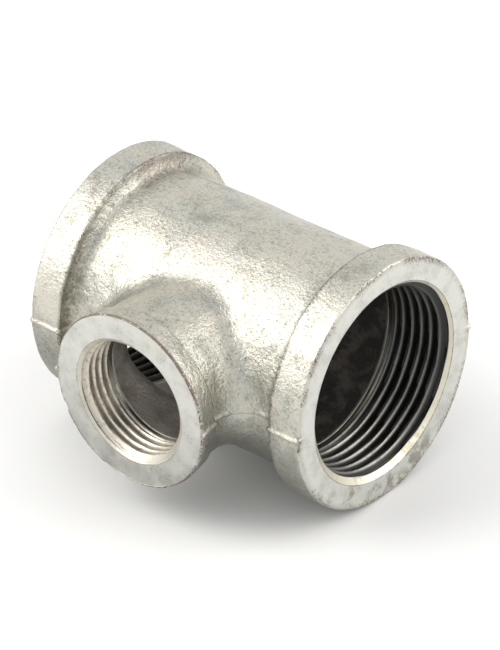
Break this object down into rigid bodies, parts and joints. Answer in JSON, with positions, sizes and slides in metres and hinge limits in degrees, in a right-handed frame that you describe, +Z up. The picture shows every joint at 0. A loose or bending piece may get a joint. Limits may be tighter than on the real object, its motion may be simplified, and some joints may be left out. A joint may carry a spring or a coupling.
{
  "type": "tee fitting",
  "caption": "Galvanised malleable-iron reducing tee: a straight threaded run with a smaller threaded branch at right angles and a raised band round each mouth.",
  "frame": {"origin": "the point where the run's axis and the branch's axis cross", "axes": "+X along the run, out of its right-hand mouth; -Y along the branch, out of its mouth; +Z up, square to the plane that holds both axes"},
  "size_m": [0.069, 0.0626, 0.0524],
  "materials": {
    "galvanised_iron": "hot-dip zinc over a sand-cast skin, bright and grainy, with machined end faces and cut threads"
  },
  "bodies": {
    "root": {"right_run_socket": "galvanised_iron", "left_run_socket": "galvanised_iron", "branch_socket": "galvanised_iron", "centre_body": "galvanised_iron"}
  },
  "joints": []
}
